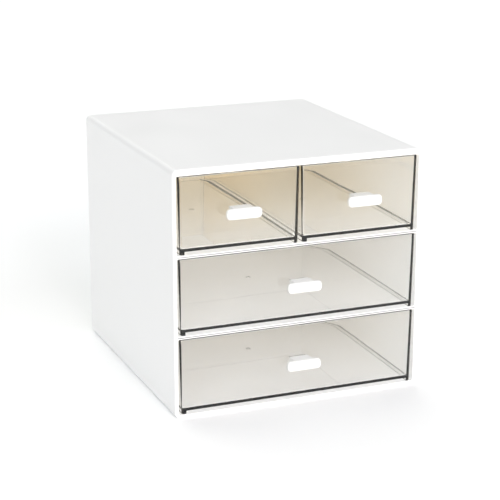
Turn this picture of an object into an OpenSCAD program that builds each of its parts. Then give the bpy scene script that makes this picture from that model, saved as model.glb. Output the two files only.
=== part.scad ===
// Desktop cabinet of mini drawers: two half-width drawers above two full-width ones.
// A white moulded case, clear smoky trays on runners, and a white T-bar pull snapped into each front.
// Origin at the centre of the case's base, +Z up, the drawers open towards -Y.

/* [Case] */
// Width of the case, left to right
case_w = 153; // [130:1:190]
// Depth of the case, front to back
case_d = 166; // [130:1:200]
// Height of the case
case_h = 145; // [120:1:180]
// Thickness of the side walls
side_t = 2; // [1.6:0.1:3]
// Thickness of the top plate
top_t = 3.5; // [2:0.1:4.5]
// Thickness of the bottom plate
bottom_t = 2.2; // [1.6:0.1:4]
// Thickness of the back wall
back_t = 2; // [1.6:0.1:4]
// Thickness of each shelf
shelf_t = 1.8; // [1.4:0.1:3]
// Radius along the case's four long outer edges
case_edge_r = 3.4; // [1:0.1:4]
// Radius round the rim of the open front
front_rim_r = 1.4; // [0.3:0.1:1.6]
// Radius round the rim of the closed back
back_rim_r = 1.4; // [0.5:0.1:2]
// Radius in the corners of each drawer bay
bay_corner_r = 1.1; // [0.5:0.1:1.5]

/* [Centre rail] */
// Thickness of the rail that guides the two upper drawers apart
rail_t = 1.2; // [0.8:0.1:1.6]
// Height of the rail above the upper shelf
rail_h = 4; // [2:0.5:10]
// How far the rail stands back from the open front
rail_setback = 8; // [4:0.5:30]

/* [Trays] */
// Gap between a tray's rim and the case's side wall
side_gap = 1; // [0.6:0.1:2]
// Gap between the rims of the two upper trays
centre_gap = 0.9; // [0.6:0.1:3]
// Gap above a tray's rim
rim_gap = 0.5; // [0.3:0.1:2]
// Running gap under a tray's runners
glide_gap = 0.25; // [0.2:0.05:0.5]
// Gap behind a closed tray
rear_gap = 4.5; // [2:0.5:20]
// Thickness of a tray's side and rear walls
tray_wall_t = 1.6; // [1.2:0.1:2.2]
// Thickness of a tray's front wall
tray_front_t = 1.8; // [1.4:0.1:2.4]
// Thickness of a tray's floor
tray_floor_t = 1.3; // [1.2:0.1:2.4]
// Lean of the side and rear walls, in degrees
draft = 1.2; // [0.5:0.1:2]
// Radius where the walls of a half-width tray meet its floor
small_floor_r = 2.4; // [1:0.1:4]
// Radius where the walls of a full-width tray meet its floor
wide_floor_r = 1.4; // [1:0.1:4]
// Radius of a tray's upright outer corners
tray_corner_r = 1.6; // [0.8:0.1:2]
// Radius of a tray's upright inner corners
cavity_corner_r = 2.4; // [1.2:0.1:4]
// Radius along the outer edge of a tray's rim
rim_edge_r = 0.8; // [0.3:0.1:1]
// Height of the bead that stiffens the top of a tray's front, on the inside
bead_h = 3.8; // [2:0.2:5]
// How far the bead thickens the front wall at the rim
bead_t = 0.4; // [0.2:0.1:0.8]
// Height of the runners under a tray's floor
runner_h = 2; // [1:0.1:3]
// Width of each runner
runner_w = 2.6; // [1.6:0.1:4]
// Radius along the outer edge of each runner
runner_edge_r = 0.4; // [0.2:0.1:0.8]
// Diameter of the mould's gate mark under the middle of each floor
gate_d = 3; // [2:0.5:6]
// Depth of the gate mark
gate_h = 0.3; // [0.2:0.1:0.5]

/* [Pulls] */
// Width of a pull's bar
bar_w = 21; // [16:0.2:30]
// Height of a pull's bar
bar_h = 6.2; // [5:0.2:10]
// Thickness of a pull's bar
bar_t = 3.2; // [2.4:0.1:5]
// Radius of the bar's corners, seen from the front
bar_corner_r = 2.4; // [1:0.1:2.4]
// Radius along the bar's long front and back edges
bar_edge_r = 1.1; // [0.5:0.1:1.2]
// How far the bar's face stands out from the tray's front
standoff = 8; // [6.5:0.1:12]
// Width of the neck that carries the bar
neck_w = 12; // [8:0.2:14]
// Height of the neck
neck_h = 5.6; // [4:0.2:6]
// Radius of the neck's long edges
neck_r = 0.8; // [0.3:0.1:1.2]
// How far the neck's middle sits above the bar's middle
neck_rise = 0.4; // [0:0.1:0.8]
// Step from the neck down to the tongue, on each side
shoulder = 1; // [0.6:0.1:1.6]
// Gap round the tongue in its slot
slot_gap = 0.15; // [0.1:0.05:0.3]
// Radius in the slot's corners
slot_r = 0.4; // [0.2:0.1:0.8]
// Length of the barbs behind the tray's front
barb_l = 2.4; // [1.6:0.1:4]
// How far each barb stands up past the tongue
barb_h = 0.7; // [0.4:0.1:1]
// Height of the saw cut that lets the two barbs spring
spring_cut = 0.9; // [0.6:0.1:1.4]

/* [Hidden] */
$fn = 64;
// Overshoot of a cutting shape past the face that it cuts
past = 1;
rows = 3;
front_y = -case_d / 2;
bay_w = case_w - 2 * side_t;
bay_d = case_d - back_t;
bay_h = (case_h - top_t - bottom_t - (rows - 1) * shelf_t) / rows;
tray_h = bay_h - glide_gap - rim_gap;
tray_d = bay_d - rear_gap;
wide_w = bay_w - 2 * side_gap;
small_w = (bay_w - centre_gap) / 2 - side_gap;
small_x = (small_w + centre_gap) / 2;
pull_z = bay_h / 2 - glide_gap;
tongue_w = neck_w - 2 * shoulder;
tongue_h = neck_h - 2 * shoulder;
// The front wall thickens towards its foot, and the barbs clear it at their lower edge
barb_y = tray_front_t + (tray_h - pull_z - neck_rise + neck_h / 2) * tan(draft) + slot_gap;
case_colour = [0.94, 0.95, 0.95];
tray_colour = [0.80, 0.76, 0.70, 0.5];
pull_colour = [0.98, 0.98, 0.97];

// Rectangle with round corners, centred on the origin
module round_rect(w, h, r) {
    square([w - 2 * r, h], center = true);
    square([w, h - 2 * r], center = true);
    for (x = [-1, 1], y = [-1, 1]) {
        translate([x * (w / 2 - r), y * (h / 2 - r)]) circle(r);
    }
}

// Section of a drafted box that stands on the X axis: w wide at the top, leaning in to a round foot
module drafted_section(w, h, foot_r) {
    foot = w / 2 - h * tan(draft);
    run = foot_r * tan(45 - draft / 2);
    side = [foot + run * sin(draft), run * cos(draft)];
    polygon([[foot - run, 0], side, [w / 2, h], [-w / 2, h], [-side.x, side.y], [run - foot, 0]]);
    for (x = [run - foot, foot - run]) {
        translate([x, foot_r]) circle(foot_r);
    }
}

// Extrude an X-Z outline along Y, from y onwards
module along_y(y, length) {
    translate([0, y + length, 0]) rotate([90, 0, 0]) linear_extrude(length) children();
}

// Extrude a Y-Z outline along X, centred on the origin
module along_x(length) {
    rotate([90, 0, 90]) translate([0, 0, -length / 2]) linear_extrude(length) children();
}

// Slice through the case from front to back: small rounds at the open rim, larger ones at the back
module rim_section(across) {
    front = front_y + front_rim_r;
    back = -front_y - back_rim_r;
    translate([front, -across / 2]) square([back - front, across]);
    translate([front_y, front_rim_r - across / 2]) square([case_d / 2, across - 2 * front_rim_r]);
    translate([0, back_rim_r - across / 2]) square([case_d / 2, across - 2 * back_rim_r]);
    for (side = [-1, 1]) {
        translate([front, side * (across / 2 - front_rim_r)]) circle(front_rim_r);
        translate([back, side * (across / 2 - back_rim_r)]) circle(back_rim_r);
    }
}

// Bottom of the bay in one row, counted from 0 at the foot of the case
function bay_z(row) = bottom_t + row * (bay_h + shelf_t);

// Set a tray or its pull in a bay, at its running gap
module in_bay(x, row) {
    translate([x, front_y, bay_z(row) + glide_gap]) children();
}

// One moulding: top, sides, base, back, two shelves and the low rail in the upper bay
module cabinet_case() {
    color(case_colour) {
        difference() {
            intersection() {
                translate([0, 0, case_h / 2])
                    along_y(front_y, case_d) round_rect(case_w, case_h, case_edge_r);
                translate([0, 0, case_h / 2]) along_x(case_w) rim_section(case_h);
                rotate(90) linear_extrude(case_h) rim_section(case_w);
            }
            for (row = [0 : rows - 1]) {
                translate([0, 0, bay_z(row) + bay_h / 2])
                    along_y(front_y - past, bay_d + past) round_rect(bay_w, bay_h, bay_corner_r);
            }
        }
        centre_rail();
    }
}

// Low rail of the case between the two upper trays, with a round nose
module centre_rail() {
    nose_y = front_y + rail_setback + rail_t / 2;
    translate([0, 0, bay_z(rows - 1) - shelf_t / 2]) linear_extrude(rail_h + shelf_t / 2) {
        translate([-rail_t / 2, nose_y]) square([rail_t, -front_y - back_t / 2 - nose_y]);
        translate([0, nose_y]) circle(rail_t / 2);
    }
}

// Open tray: its front face on Y = 0, its runners on Z = 0
module tray(w, floor_r) {
    difference() {
        union() {
            difference() {
                tray_blank(w);
                tray_cavity(w, floor_r);
            }
            front_bead(w);
        }
        runner_channel(w);
        translate([0, tray_d / 2, 0]) cylinder(d = gate_d, h = runner_h + gate_h);
        translate([0, 0, pull_z + neck_rise])
            along_y(-past, barb_y + past)
                round_rect(tongue_w + 2 * slot_gap, tongue_h + 2 * slot_gap, slot_r);
    }
}

// Outside of a tray: upright front, leaning sides and rear
module tray_blank(w) {
    intersection() {
        along_y(0, tray_d) drafted_section(w, tray_h, runner_edge_r);
        along_y(0, tray_d) round_rect(w, 2 * tray_h, rim_edge_r);
        along_x(w) polygon([[0, 0], [tray_d - tray_h * tan(draft), 0], [tray_d, tray_h], [0, tray_h]]);
        linear_extrude(tray_h) translate([0, tray_d / 2]) round_rect(w, tray_d, tray_corner_r);
    }
}

// Inside of a tray: every wall leans out, and rounds meet the floor
module tray_cavity(w, floor_r) {
    floor_z = runner_h + tray_floor_t;
    h = tray_h - floor_z + past;
    inner_w = w - 2 * tray_wall_t + 2 * past * tan(draft);
    inner_d = tray_d - tray_front_t - tray_wall_t + 2 * past * tan(draft);
    mid_y = (tray_d + tray_front_t - tray_wall_t) / 2;
    translate([0, mid_y, floor_z]) {
        intersection() {
            along_y(-inner_d / 2, inner_d) drafted_section(inner_w, h, floor_r);
            along_x(inner_w) drafted_section(inner_d, h, floor_r);
            linear_extrude(h) round_rect(inner_w, inner_d, cavity_corner_r);
        }
    }
}

// Wedge that thickens the front wall towards its rim: its face leaves the wall's at bead_h below the rim
module front_bead(w) {
    slope = bead_t / bead_h - tan(draft);
    buried_y = tray_front_t - bead_t;
    along_x(w - tray_wall_t) polygon([
        [buried_y, tray_h],
        [buried_y, tray_h - 2 * bead_t / slope],
        [tray_front_t + bead_t, tray_h]
    ]);
}

// Space under the floor, which leaves a runner along each side
module runner_channel(w) {
    channel_w = w - 2 * (tray_h * tan(draft) + runner_w);
    translate([-channel_w / 2, -past, -past]) cube([channel_w, tray_d + 2 * past, runner_h + past]);
}

// T-bar pull: its neck stands on Y = 0, and its tongue snaps through the slot
module pull() {
    translate([0, 0, pull_z]) {
        pull_bar();
        translate([0, 0, neck_rise]) {
            along_y(bar_t / 2 - standoff, standoff - bar_t / 2) round_rect(neck_w, neck_h, neck_r);
            snap_tongue();
        }
    }
}

// Cross bar with round ends and softened edges
module pull_bar() {
    intersection() {
        along_y(-standoff, bar_t) round_rect(bar_w, bar_h, bar_corner_r);
        along_x(bar_w) translate([bar_t / 2 - standoff, 0]) round_rect(bar_t, bar_h, bar_edge_r);
        translate([0, bar_t / 2 - standoff, -bar_h / 2])
            linear_extrude(bar_h) round_rect(bar_w, bar_t, bar_edge_r);
    }
}

// Tongue with an upper and a lower barb, split so that they spring
module snap_tongue() {
    tail_y = barb_y + barb_l;
    difference() {
        union() {
            translate([-tongue_w / 2, -past, -tongue_h / 2]) cube([tongue_w, tail_y + past, tongue_h]);
            for (side = [-1, 1]) {
                along_x(tongue_w) polygon([
                    [barb_y, 0],
                    [barb_y, side * (tongue_h / 2 + barb_h)],
                    [tail_y, side * (tongue_h / 2 - barb_h / 2)],
                    [tail_y, 0]
                ]);
            }
        }
        translate([-tongue_w / 2 - past, 0, -spring_cut / 2])
            cube([tongue_w + 2 * past, tail_y + past, spring_cut]);
    }
}

module top_left_tray() color(tray_colour) in_bay(-small_x, 2) tray(small_w, small_floor_r);
module top_right_tray() color(tray_colour) in_bay(small_x, 2) tray(small_w, small_floor_r);
module middle_tray() color(tray_colour) in_bay(0, 1) tray(wide_w, wide_floor_r);
module bottom_tray() color(tray_colour) in_bay(0, 0) tray(wide_w, wide_floor_r);

module top_left_pull() color(pull_colour) in_bay(-small_x, 2) pull();
module top_right_pull() color(pull_colour) in_bay(small_x, 2) pull();
module middle_pull() color(pull_colour) in_bay(0, 1) pull();
module bottom_pull() color(pull_colour) in_bay(0, 0) pull();

cabinet_case();
top_left_tray();
top_right_tray();
middle_tray();
bottom_tray();
top_left_pull();
top_right_pull();
middle_pull();
bottom_pull();
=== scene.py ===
import math

import bmesh
import bpy
from mathutils import Matrix, Vector


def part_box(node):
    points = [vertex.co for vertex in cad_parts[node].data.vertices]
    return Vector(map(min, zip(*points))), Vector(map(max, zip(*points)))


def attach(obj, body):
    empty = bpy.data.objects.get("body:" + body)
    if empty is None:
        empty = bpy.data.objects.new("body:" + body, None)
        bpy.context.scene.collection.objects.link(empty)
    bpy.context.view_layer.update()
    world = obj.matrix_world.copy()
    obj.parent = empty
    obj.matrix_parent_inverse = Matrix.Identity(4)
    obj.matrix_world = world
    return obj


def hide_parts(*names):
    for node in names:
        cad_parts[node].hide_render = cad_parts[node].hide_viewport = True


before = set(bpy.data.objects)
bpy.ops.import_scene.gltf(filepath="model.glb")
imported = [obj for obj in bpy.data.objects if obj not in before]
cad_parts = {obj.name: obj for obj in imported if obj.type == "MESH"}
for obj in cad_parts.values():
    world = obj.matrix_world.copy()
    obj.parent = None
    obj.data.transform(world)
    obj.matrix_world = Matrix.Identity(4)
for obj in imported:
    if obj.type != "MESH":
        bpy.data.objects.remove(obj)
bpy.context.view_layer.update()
print("frame loaded:", len(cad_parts), "nodes")

mm = 0.001
slack = 0.001 * mm  # closer than this counts as the same place
cutFold = math.radians(20)  # flatter folds are cuts across a face, not edges of the form
creaseFold = math.radians(28)  # steeper folds are shaded sharp
parallel = 0.999  # the share of its length that an edge on an axis runs along it
leaning = 0.9  # the same for what leans with the mould's draft


def linearColour(hexText):
    channels = [int(hexText[i:i + 2], 16) / 255 for i in (1, 3, 5)]
    linear = [c / 12.92 if c <= 0.04045 else ((c + 0.055) / 1.055) ** 2.4 for c in channels]
    return (*linear, 1.0)


def addNode(material, kind, settings=None, links=None):
    tree = material.node_tree
    node = tree.nodes.new(kind)
    for name, value in (settings or {}).items():
        if name in node.inputs:
            node.inputs[name].default_value = value
        else:
            setattr(node, name, value)
    for socket, source in (links or {}).items():
        tree.links.new(source, node.inputs[socket])
    return node


def newMaterial(name):
    material = bpy.data.materials.new(name)
    material.use_nodes = True
    material.node_tree.nodes.clear()
    return material


def near(a, b):
    return abs(a - b) < slack


def anywhere(middle):
    return True


def edgesAlong(bm, axis, test=anywhere):
    found = []
    for edge in bm.edges:
        run = edge.verts[1].co - edge.verts[0].co
        if abs(run[axis]) > parallel * run.length and test((edge.verts[0].co + edge.verts[1].co) / 2):
            found.append(edge)
    return found


# folds that lie in one plane, leaving out the cuts across a flat face
def edgesOnPlane(bm, axis, place, test=anywhere):
    found = []
    for edge in bm.edges:
        if not all(near(v.co[axis], place) for v in edge.verts):
            continue
        if len(edge.link_faces) != 2 or edge.calc_face_angle(0) < cutFold:
            continue
        if test((edge.verts[0].co + edge.verts[1].co) / 2):
            found.append(edge)
    return found


def facesOn(bm, axis, place, test=anywhere):
    return [f for f in bm.faces
            if all(near(v.co[axis], place) for v in f.verts) and test(f.calc_center_median())]


def roundEdges(bm, edges, radius, steps):
    bmesh.ops.bevel(bm, geom=list(set(edges)), offset=radius, offset_type="OFFSET", segments=steps,
                    profile=0.5, affect="EDGES", clamp_overlap=False, material=-1)


def cutFaces(bm, faces, axis, places):
    for place in places:
        faces = [f for f in faces if f.is_valid]
        geometry = list({g for f in faces for g in (f, *f.edges, *f.verts)})
        normal = [0, 0, 0]
        normal[axis] = 1
        point = [0, 0, 0]
        point[axis] = place
        cut = bmesh.ops.bisect_plane(bm, geom=geometry, plane_co=point, plane_no=normal)
        faces = [g for g in cut["geom"] if isinstance(g, bmesh.types.BMFace)]


def pushFace(bm, face, shift):
    made = bmesh.ops.extrude_discrete_faces(bm, faces=[face])["faces"][0]
    bmesh.ops.translate(bm, verts=made.verts, vec=shift)
    return made


# swaps two facing holes' lids for the walls between them
def openBridge(bm, faces):
    rims = [edge for face in faces for edge in face.edges]
    bmesh.ops.delete(bm, geom=faces, context="FACES_ONLY")
    bmesh.ops.bridge_loops(bm, edges=rims)


# a block, and how much each side leans in towards its foot, as the mould's draft makes it
def blockBetween(bm, low, high, sideLean=0, frontLean=0, rearLean=0):
    centre = [(a + b) / 2 for a, b in zip(low, high)]
    size = [b - a for a, b in zip(low, high)]
    place = Matrix.Translation(centre) @ Matrix.Diagonal((*size, 1))
    verts = bmesh.ops.create_cube(bm, size=1, matrix=place)["verts"]
    for v in verts:
        if v.co.z < centre[2]:
            v.co.x += size[2] * sideLean * (1 if v.co.x < centre[0] else -1)
            v.co.y += size[2] * (frontLean if v.co.y < centre[1] else -rearLean)
    return verts


def edgesTowards(axis, verts):
    edges = {edge for v in verts for edge in v.link_edges}
    return [e for e in edges if abs(e.verts[1].co[axis] - e.verts[0].co[axis]) > leaning * e.calc_length()]


def settle(bm, name, material, body, node):
    bmesh.ops.remove_doubles(bm, verts=bm.verts, dist=slack / 10)
    bmesh.ops.recalc_face_normals(bm, faces=bm.faces)
    for face in bm.faces:
        face.smooth = True
    for edge in bm.edges:
        edge.smooth = edge.calc_face_angle(0) < creaseFold
    mesh = bpy.data.meshes.new(name)
    bm.to_mesh(mesh)
    bm.free()
    mesh.materials.append(material)
    piece = bpy.data.objects.new(name, mesh)
    bpy.context.collection.objects.link(piece)
    # wide flat faces stay flat beside their rounded edges, so that the clear walls don't warp what is behind
    flatten = piece.modifiers.new("flatFaces", "WEIGHTED_NORMAL")
    flatten.mode = "FACE_AREA"
    flatten.weight = 100
    flatten.keep_sharp = True
    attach(piece, body)
    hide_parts(node)
    return piece


# it stands left of the front and a little above the top
cameraPlace = {
    "azimuth": -22.09, "elevation": 16.24, "distance": 0.9815, "target": (0.00274, 0, 0.0693),
    "lens": 113.9, "sensor": 36,
}


# the way from the object to something that stands at these angles, with 0, 0 straight in front
def outward(azimuth, elevation):
    turn, rise = math.radians(azimuth), math.radians(elevation)
    return Vector((math.sin(turn) * math.cos(rise), -math.cos(turn) * math.cos(rise), math.sin(rise)))


def placeCamera(s):
    back = outward(s["azimuth"], s["elevation"])
    camera = bpy.data.objects.new("photoCamera", bpy.data.cameras.new("photoCamera"))
    camera.data.lens = s["lens"]
    camera.data.sensor_width = s["sensor"]
    camera.location = Vector(s["target"]) + back * s["distance"]
    camera.rotation_euler = back.to_track_quat("Z", "Y").to_euler()
    bpy.context.collection.objects.link(camera)
    bpy.context.scene.camera = camera


placeCamera(cameraPlace)
print("camera placed")

caseResin = {
    "white": "#fcfcfc", "ior": 1.59, "specular": 0.4, "glossiest": 0.30, "dullest": 0.42,
    "grain": 0.55 * mm,  # real spark grain is about 0.1 mm and too fine to show, so it is drawn this coarse
    "grainHeight": 0.04 * mm, "grainStrength": 0.12,
    "wave": 36 * mm, "waveHeight": 0.2 * mm, "waveStrength": 0.25,
}


# High-impact polystyrene, injection moulded in a finely sparked mould: a soft satin white that scatters light
# evenly, with a faint waviness in the wide walls where the plastic shrank as it cooled
def mouldedImpactPolystyrene(s):
    material = newMaterial("impactPolystyreneSatin")
    place = addNode(material, "ShaderNodeTexCoord").outputs["Object"]
    grain = addNode(material, "ShaderNodeTexNoise", {"Scale": 1 / s["grain"], "Detail": 2, "Roughness": 0.6},
                    {"Vector": place})
    wave = addNode(material, "ShaderNodeTexNoise", {"Scale": 1 / s["wave"], "Detail": 1, "Roughness": 0.4},
                   {"Vector": place})
    shine = addNode(material, "ShaderNodeMapRange", {"To Min": s["glossiest"], "To Max": s["dullest"]},
                    {"Value": wave.outputs["Fac"]})
    grainBump = addNode(material, "ShaderNodeBump",
                        {"Strength": s["grainStrength"], "Distance": s["grainHeight"]},
                        {"Height": grain.outputs["Fac"]})
    bump = addNode(material, "ShaderNodeBump", {"Strength": s["waveStrength"], "Distance": s["waveHeight"]},
                   {"Height": wave.outputs["Fac"], "Normal": grainBump.outputs["Normal"]})
    shader = addNode(material, "ShaderNodeBsdfPrincipled",
                     {"Base Color": linearColour(s["white"]), "IOR": s["ior"],
                      "Specular IOR Level": s["specular"]},
                     {"Roughness": shine.outputs["Result"], "Normal": bump.outputs["Normal"]})
    addNode(material, "ShaderNodeOutputMaterial", None, {"Surface": shader.outputs["BSDF"]})
    return material


trayResin = {
    "ior": 1.59, "roughness": 0.003,  # a polished mould's finish, smooth enough to see through sharply
    "flow": 16.5 * mm, "flowHeight": 0.2 * mm, "flowStrength": 0.006,
    "paintedShadeStart": -50 * mm, "paintedShadeEnd": 70 * mm,
}
# the small trays' rear colour is painted shade, a warm amber for the shade at the back of the upper bays
smallSmoke = {"colour": "#f5f2e8", "density": 66, "front": "#ffffff", "rear": "#fff8e9"}
wideSmoke = {"colour": "#f0efea", "density": 84, "front": "#ffffff", "rear": "#ffffff"}


# Clear polystyrene with a breath of smoke in it, injection moulded in a polished mould: the walls look clear
# face on, and dark along every edge, where the eye looks through a long run of plastic
def mouldedClearPolystyrene(name, s, smoke):
    material = newMaterial(name)
    place = addNode(material, "ShaderNodeTexCoord").outputs["Object"]
    flow = addNode(material, "ShaderNodeTexNoise", {"Scale": 1 / s["flow"], "Detail": 1, "Roughness": 0.3},
                   {"Vector": place})
    bump = addNode(material, "ShaderNodeBump", {"Strength": s["flowStrength"], "Distance": s["flowHeight"]},
                   {"Height": flow.outputs["Fac"]})
    # painted shade: the colour turns warmer towards the rear, standing in for the shade deep in the bays (the
    # wide trays' rear colour is white, so only the small trays show it)
    axes = addNode(material, "ShaderNodeSeparateXYZ", None, {"Vector": place})
    depth = addNode(material, "ShaderNodeMapRange", {"From Min": s["paintedShadeStart"], "From Max": s["paintedShadeEnd"]},
                    {"Value": axes.outputs["Y"]})
    paintedShadeMix = addNode(material, "ShaderNodeMix", {"data_type": "RGBA"}, {0: depth.outputs["Result"]})
    # its colour sockets share their names with the number sockets, so they go by place
    frontTone, rearTone, paintedShadeColour = paintedShadeMix.inputs[6], paintedShadeMix.inputs[7], paintedShadeMix.outputs[2]
    frontTone.default_value = linearColour(smoke["front"])
    rearTone.default_value = linearColour(smoke["rear"])
    shader = addNode(material, "ShaderNodeBsdfPrincipled",
                     {"IOR": s["ior"], "Transmission Weight": 1.0, "Roughness": s["roughness"]},
                     {"Base Color": paintedShadeColour, "Normal": bump.outputs["Normal"]})
    # lamp light and scattered light pass straight through the thin walls; the eye still sees them bend
    path = addNode(material, "ShaderNodeLightPath")
    blurred = addNode(material, "ShaderNodeMath", {"operation": "SUBTRACT", "use_clamp": True},
                      {0: path.outputs["Is Glossy Ray"], 1: path.outputs["Is Singular Ray"]})
    scattered = addNode(material, "ShaderNodeMath", {"operation": "MAXIMUM"},
                        {0: path.outputs["Is Diffuse Ray"], 1: blurred.outputs["Value"]})
    passing = addNode(material, "ShaderNodeMath", {"operation": "MAXIMUM"},
                      {0: path.outputs["Is Shadow Ray"], 1: scattered.outputs["Value"]})
    straight = addNode(material, "ShaderNodeBsdfTransparent", {"Color": linearColour("#ffffff")})
    surface = addNode(material, "ShaderNodeMixShader", None,
                      {0: passing.outputs["Value"], 1: shader.outputs["BSDF"], 2: straight.outputs["BSDF"]})
    tint = addNode(material, "ShaderNodeVolumeAbsorption",
                   {"Color": linearColour(smoke["colour"]), "Density": smoke["density"]})
    addNode(material, "ShaderNodeOutputMaterial", None,
            {"Surface": surface.outputs["Shader"], "Volume": tint.outputs["Volume"]})
    return material


pullResin = {"white": "#efefee", "ior": 1.54, "glossiest": 0.10, "dullest": 0.18, "cloud": 4.5 * mm}


# ABS, injection moulded in a polished mould: a clean white with a tight gloss, which catches the light on the
# bar's rounded edges and clouds faintly where fingers touch it
def mouldedAbs(s):
    material = newMaterial("absGloss")
    place = addNode(material, "ShaderNodeTexCoord").outputs["Object"]
    cloud = addNode(material, "ShaderNodeTexNoise", {"Scale": 1 / s["cloud"], "Detail": 2}, {"Vector": place})
    shine = addNode(material, "ShaderNodeMapRange", {"To Min": s["glossiest"], "To Max": s["dullest"]},
                    {"Value": cloud.outputs["Fac"]})
    shader = addNode(material, "ShaderNodeBsdfPrincipled",
                     {"Base Color": linearColour(s["white"]), "IOR": s["ior"]},
                     {"Roughness": shine.outputs["Result"]})
    addNode(material, "ShaderNodeOutputMaterial", None, {"Surface": shader.outputs["BSDF"]})
    return material


caseWhite = mouldedImpactPolystyrene(caseResin)
smallTraySmoke = mouldedClearPolystyrene("clearPolystyreneSmallTray", trayResin, smallSmoke)
wideTraySmoke = mouldedClearPolystyrene("clearPolystyreneWideTray", trayResin, wideSmoke)
pullWhite = mouldedAbs(pullResin)
print("materials made")

# each rounding is its radius and its number of steps
case = {
    "sideWall": 2 * mm, "topWall": 3.5 * mm, "baseWall": 2.2 * mm, "backWall": 2 * mm,
    "shelf": 1.8 * mm, "rows": 3,
    "longEdge": (3.4 * mm, 8), "frontRim": (1.4 * mm, 5), "backRim": (1.4 * mm, 4),
    "bayCorner": (1.1 * mm, 4), "bayMouth": (0.3 * mm, 3),
    "rail": 1.2 * mm, "railHeight": 4 * mm, "railSetback": 8 * mm,
    "railNose": (0.58 * mm, 4), "railCrest": (0.25 * mm, 2),
}


def bayLevels(s, low, high):
    rows = s["rows"]
    clear = (high.z - low.z - s["topWall"] - s["baseWall"] - (rows - 1) * s["shelf"]) / rows
    starts = [low.z + s["baseWall"] + row * (clear + s["shelf"]) for row in range(rows)]
    return [(start, start + clear) for start in starts]


# the low rail grows out of the upper shelf and runs into the back wall
def raiseRail(bm, s, front, back, shelfTop):
    half = s["rail"] / 2
    start = front + s["railSetback"]
    crest = shelfTop + s["railHeight"]

    def onRail(m):
        return abs(m.x) < half and m.z > shelfTop - slack

    cutFaces(bm, facesOn(bm, 2, shelfTop), 1, [start])
    cutFaces(bm, facesOn(bm, 2, shelfTop, lambda m: m.y > start), 0, [-half, half])
    cutFaces(bm, facesOn(bm, 1, back, lambda m: m.z > shelfTop), 0, [-half, half])
    cutFaces(bm, facesOn(bm, 1, back, onRail), 2, [crest])
    foot = facesOn(bm, 2, shelfTop, lambda m: abs(m.x) < half and m.y > start)[0]
    pushFace(bm, foot, (0, 0, s["railHeight"]))
    ends = facesOn(bm, 1, back, lambda m: onRail(m) and m.z < crest)
    bmesh.ops.delete(bm, geom=ends, context="FACES")
    bmesh.ops.remove_doubles(bm, verts=bm.verts, dist=slack)
    roundEdges(bm, edgesAlong(bm, 2, lambda m: near(abs(m.x), half) and near(m.y, start)), *s["railNose"])
    top = edgesOnPlane(bm, 2, crest, lambda m: abs(m.x) < half + slack and m.y < back - slack)
    roundEdges(bm, top, *s["railCrest"])


def buildCase(s):
    low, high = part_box("cabinet_case")
    bays = bayLevels(s, low, high)
    levels = [level for bay in bays for level in bay]
    half = (high.x - low.x) / 2 - s["sideWall"]
    inner = high.y - s["backWall"]

    def atCorner(m):
        return near(abs(m.x), half) and any(near(m.z, level) for level in levels)

    def atMouth(m):
        return abs(m.x) < half + slack and levels[0] - slack < m.z < levels[-1] + slack

    bm = bmesh.new()
    blockBetween(bm, low, high)
    roundEdges(bm, edgesAlong(bm, 1), *s["longEdge"])
    roundEdges(bm, edgesOnPlane(bm, 1, high.y), *s["backRim"])
    roundEdges(bm, edgesOnPlane(bm, 1, low.y), *s["frontRim"])
    cutFaces(bm, facesOn(bm, 1, low.y), 0, [-half, half])
    cutFaces(bm, facesOn(bm, 1, low.y), 2, levels)
    for bottom, top in bays:
        mouth = facesOn(bm, 1, low.y, lambda m: abs(m.x) < half and bottom < m.z < top)[0]
        pushFace(bm, mouth, (0, inner - low.y, 0))
    roundEdges(bm, edgesAlong(bm, 1, atCorner), *s["bayCorner"])
    roundEdges(bm, edgesOnPlane(bm, 1, low.y, atMouth), *s["bayMouth"])
    raiseRail(bm, s, low.y, inner, bays[-1][0])
    return settle(bm, "caseShell", caseWhite, "case", "cabinet_case")


buildCase(case)
print("case made")

tray = {
    "wall": 1.6 * mm, "front": 1.8 * mm, "floor": 1.0 * mm, "draft": math.radians(1.2),
    "runner": 2 * mm, "runnerWidth": 2.6 * mm, "runnerFoot": (0.35 * mm, 2),
    "gate": 3 * mm, "gateDepth": 0.5 * mm, "gateSteps": 5, "corner": (1.6 * mm, 4),
    "rimOuter": (0.5 * mm, 3), "rimInner": (0.3 * mm, 2), "bead": 3.8 * mm, "beadThick": 0.4 * mm,
    "smallFloor": (1.0 * mm, 5), "wideFloor": (0.4 * mm, 5),
}
pull = {
    "barHeight": 6.2 * mm, "barThick": 3.2 * mm, "barCorner": (2.4 * mm, 6), "barEdge": (1.1 * mm, 4),
    "neckWidth": 12 * mm, "neckHeight": 5.6 * mm, "neckEdge": (0.8 * mm, 4), "neckRise": 0.4 * mm,
    "shoulder": 1 * mm, "slotGap": 0.15 * mm, "slotCorner": (0.4 * mm, 3),
    "rootDepth": 0.8 * mm,  # how far the tongue starts inside the neck
    "barb": 2.4 * mm, "barbHeight": 0.7 * mm, "springCut": 0.9 * mm,
    "barbFall": 1.45,  # how far the barb's ramp falls towards its tail, in barb heights
}


# the pull's middle in x, the height of its neck, and half of its slot each way
def slotWindow(name, gap):
    low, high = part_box(name + "_pull")
    neckZ = low.z + pull["barHeight"] / 2 + pull["neckRise"]
    halfX = pull["neckWidth"] / 2 - pull["shoulder"] + gap
    halfZ = pull["neckHeight"] / 2 - pull["shoulder"] + gap
    return (low.x + high.x) / 2, neckZ, halfX, halfZ


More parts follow.
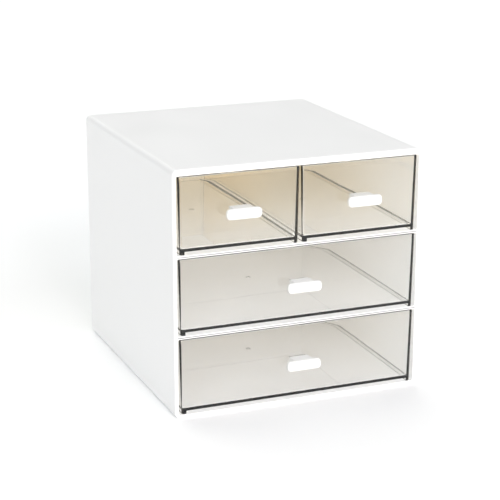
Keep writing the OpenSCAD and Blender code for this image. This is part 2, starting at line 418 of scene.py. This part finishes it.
# two runners are left where the mould's channel passes under the floor
def addRunners(bm, s, low, high, underside):
    middle = (low.x + high.x) / 2
    inner = (high.x - low.x) / 2 - (high.z - low.z) * math.tan(s["draft"]) - s["runnerWidth"]
    cutFaces(bm, facesOn(bm, 2, underside), 0, [middle - inner, middle + inner])
    for strip in facesOn(bm, 2, underside, lambda m: abs(m.x - middle) > inner):
        foot = pushFace(bm, strip, (0, 0, -s["runner"]))
        for v in foot.verts:
            if abs(v.co.x - middle) > inner + s["runnerWidth"] / 2:
                v.co.x += s["runner"] * math.tan(s["draft"]) * (1 if v.co.x < middle else -1)
    roundEdges(bm, edgesOnPlane(bm, 2, low.z), *s["runnerFoot"])


# the mark of the mould's gate is a shallow round pocket under the floor
def addGateMark(bm, s, middle, centreY, underside):
    half = s["gate"] / 2

    def underFloor(m):
        return abs(m.x - middle) < half + slack

    def atGate(m):
        return abs(m.x - middle) < half and abs(m.y - centreY) < half

    cutFaces(bm, facesOn(bm, 2, underside), 0, [middle - half, middle + half])
    cutFaces(bm, facesOn(bm, 2, underside, underFloor), 1, [centreY - half, centreY + half])
    top = pushFace(bm, facesOn(bm, 2, underside, atGate)[0], (0, 0, s["gateDepth"]))
    roundEdges(bm, edgesTowards(2, top.verts), half - slack, s["gateSteps"])


# the inside of the front wall thickens towards its rim
def addBead(bm, s, innerFront, rim):
    cutFaces(bm, innerFront(), 2, [rim - s["bead"]])
    for v in {v for f in innerFront() for v in f.verts if near(v.co.z, rim)}:
        v.co.y += s["beadThick"]


# the slot that the pull's tongue snaps through
def cutSlot(bm, name, outerFront, innerFront):
    middle, neckZ, halfX, halfZ = slotWindow(name, pull["slotGap"])

    def inColumn(face):
        return abs(face.calc_center_median().x - middle) < halfX

    def inWindow(face):
        return inColumn(face) and abs(face.calc_center_median().z - neckZ) < halfZ

    for wall in (outerFront, innerFront):
        cutFaces(bm, wall(), 0, [middle - halfX, middle + halfX])
        cutFaces(bm, [f for f in wall() if inColumn(f)], 2, [neckZ - halfZ, neckZ + halfZ])
    openBridge(bm, [f for f in outerFront() + innerFront() if inWindow(f)])
    corners = edgesAlong(bm, 1, lambda m: near(abs(m.x - middle), halfX) and near(abs(m.z - neckZ), halfZ))
    roundEdges(bm, corners, *pull["slotCorner"])


# rounds the rim's outer edge more than its inner one
def roundRim(bm, s, centre):
    outer, inner = [], []
    for edge in edgesOnPlane(bm, 2, centre.z):
        wallNormal = min((f.normal for f in edge.link_faces), key=lambda n: abs(n.z))
        fromCentre = (edge.verts[0].co + edge.verts[1].co) / 2 - centre
        (outer if wallNormal.dot(fromCentre) > 0 else inner).append(edge)
    roundEdges(bm, outer, *s["rimOuter"])
    roundEdges(bm, [e for e in inner if e.is_valid], *s["rimInner"])


def buildTray(name, floorRound, resin, s):
    low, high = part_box(name + "_tray")
    lean = math.tan(s["draft"])
    middle = (low.x + high.x) / 2
    underside = low.z + s["runner"]
    floorLevel = underside + s["floor"]
    bm = bmesh.new()

    def outerFront():
        return facesOn(bm, 1, low.y)

    def innerFront():
        nearest, furthest = low.y + s["front"] / 2, low.y + 3 * s["front"]
        return [f for f in bm.faces
                if f.normal.y > leaning and all(nearest < v.co.y < furthest for v in f.verts)]

    outside = blockBetween(bm, (low.x, low.y, underside), high, lean, 0, lean)
    roundEdges(bm, edgesTowards(2, outside), *s["corner"])
    inside = blockBetween(bm, (low.x + s["wall"], low.y + s["front"], floorLevel),
                          (high.x - s["wall"], high.y - s["wall"], high.z), lean, lean, lean)
    # the cavity faces inward
    bmesh.ops.reverse_faces(bm, faces=list({f for v in inside for f in v.link_faces}))
    openBridge(bm, facesOn(bm, 2, high.z))
    bm.normal_update()
    roundEdges(bm, edgesOnPlane(bm, 2, floorLevel), *floorRound)
    cutSlot(bm, name, outerFront, innerFront)
    addBead(bm, s, innerFront, high.z)
    addRunners(bm, s, low, high, underside)
    addGateMark(bm, s, middle, (low.y + high.y) / 2, underside)
    roundRim(bm, s, Vector((middle, 0, high.z)))
    return settle(bm, name + "Tray", resin, name + "_drawer", name + "_tray")


for name in ("top_left", "top_right"):
    buildTray(name, tray["smallFloor"], smallTraySmoke, tray)
for name in ("middle", "bottom"):
    buildTray(name, tray["wideFloor"], wideTraySmoke, tray)
print("trays made")


def buildPull(name, s):
    low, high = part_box(name + "_pull")
    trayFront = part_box(name + "_tray")[0].y
    middle, neckZ, halfX, halfZ = slotWindow(name, 0)
    bm = bmesh.new()
    blockBetween(bm, low, (high.x, low.y + s["barThick"], low.z + s["barHeight"]))
    roundEdges(bm, edgesAlong(bm, 1), *s["barCorner"])
    for face in (low.y, low.y + s["barThick"]):
        roundEdges(bm, edgesOnPlane(bm, 1, face), *s["barEdge"])
    # the neck starts inside the bar, so that the two read as one moulding
    start = low.y + s["barThick"] / 2
    neck = blockBetween(bm, (middle - s["neckWidth"] / 2, start, neckZ - s["neckHeight"] / 2),
                        (middle + s["neckWidth"] / 2, trayFront, neckZ + s["neckHeight"] / 2))
    roundEdges(bm, edgesTowards(1, neck), *s["neckEdge"])
    buildTongue(bm, s, middle, neckZ, halfX, halfZ, trayFront, high.y)
    return settle(bm, name + "Pull", pullWhite, name + "_drawer", name + "_pull")


# two springing halves with a saw cut between them, each with a barb at its tail
def buildTongue(bm, s, middle, neckZ, halfX, halfZ, root, tail):
    catch = tail - s["barb"]
    for side in (-1, 1):
        inner, outer = neckZ + side * s["springCut"] / 2, neckZ + side * halfZ
        blockBetween(bm, (middle - halfX, root - s["rootDepth"], min(inner, outer)),
                     (middle + halfX, tail, max(inner, outer)))
        back = facesOn(bm, 2, outer, lambda m: abs(m.x - middle) < halfX and root < m.y < tail)
        cutFaces(bm, back, 1, [catch])
        barb = facesOn(bm, 2, outer, lambda m: abs(m.x - middle) < halfX and catch < m.y < tail)[0]
        raised = pushFace(bm, barb, (0, 0, side * s["barbHeight"]))
        for v in raised.verts:
            if near(v.co.y, tail):
                v.co.z -= side * s["barbFall"] * s["barbHeight"]


for name in ("top_left", "top_right", "middle", "bottom"):
    buildPull(name, pull)
print("pulls made")

# the lamps are suns, so their spread is what makes them soft
studio = {
    "floorSize": 40, "paper": "#ffffff", "paperRoughness": 0.9, "paperGlow": 0.02, "world": 0.15,
    "lampDistance": 2,
}
lamps = {
    "frontLevel": {"azimuth": 0, "elevation": 10, "spread": 35, "strength": 1.178, "colour": "#ffefdb"},
    "frontKey": {"azimuth": 0, "elevation": 27, "spread": 14, "strength": 0.607, "colour": "#f9f7ff"},
    "leftLevel": {"azimuth": -35, "elevation": 5, "spread": 30, "strength": 0.451, "colour": "#fff0dc"},
    "leftHigh": {"azimuth": -35, "elevation": 30, "spread": 35, "strength": 0.781, "colour": "#e2f1ff"},
    "rightHigh": {"azimuth": 35, "elevation": 30, "spread": 35, "strength": 0.795, "colour": "#f8f9ff"},
    "overhead": {"azimuth": 0, "elevation": 80, "spread": 60, "strength": 0.532, "colour": "#f9faff"},
    "behind": {"azimuth": 180, "elevation": 60, "spread": 50, "strength": 1.35, "colour": "#fffff7"},
}


def buildStage(s):
    bm = bmesh.new()
    bmesh.ops.create_grid(bm, x_segments=1, y_segments=1, size=s["floorSize"])
    mesh = bpy.data.meshes.new("floor")
    bm.to_mesh(mesh)
    bm.free()
    floor = bpy.data.objects.new("floor", mesh)
    paper = newMaterial("paleFloor")
    white = linearColour(s["paper"])
    # a faint glow of its own keeps the paper white beside the case
    shader = addNode(paper, "ShaderNodeBsdfPrincipled",
                     {"Base Color": white, "Roughness": s["paperRoughness"],
                      "Emission Color": white, "Emission Strength": s["paperGlow"]})
    addNode(paper, "ShaderNodeOutputMaterial", None, {"Surface": shader.outputs["BSDF"]})
    mesh.materials.append(paper)
    bpy.context.collection.objects.link(floor)


def softLamp(name, s, distance):
    light = bpy.data.lights.new(name, "SUN")
    light.angle = math.radians(s["spread"])
    light.energy = s["strength"]
    light.color = linearColour(s["colour"])[:3]
    lamp = bpy.data.objects.new(name, light)
    away = outward(s["azimuth"], s["elevation"])
    lamp.location = distance * away
    lamp.rotation_euler = (-away).to_track_quat("-Z", "Y").to_euler()
    bpy.context.collection.objects.link(lamp)


def softWorld(strength):
    world = bpy.data.worlds.new("studio")
    world.use_nodes = True
    background = world.node_tree.nodes["Background"]
    background.inputs["Color"].default_value = linearColour("#ffffff")
    background.inputs["Strength"].default_value = strength
    bpy.context.scene.world = world


buildStage(studio)
softWorld(studio["world"])
for name, settings in lamps.items():
    softLamp(name, settings, studio["lampDistance"])
bpy.context.scene.view_settings.view_transform = "Standard"
# light has to cross many clear walls to reach the inside
lightPaths = {"max_bounces": 32, "diffuse_bounces": 16, "transmission_bounces": 24, "glossy_bounces": 8,
              "transparent_max_bounces": 48}
for setting, count in lightPaths.items():
    setattr(bpy.context.scene.cycles, setting, count)
print("stage lit")
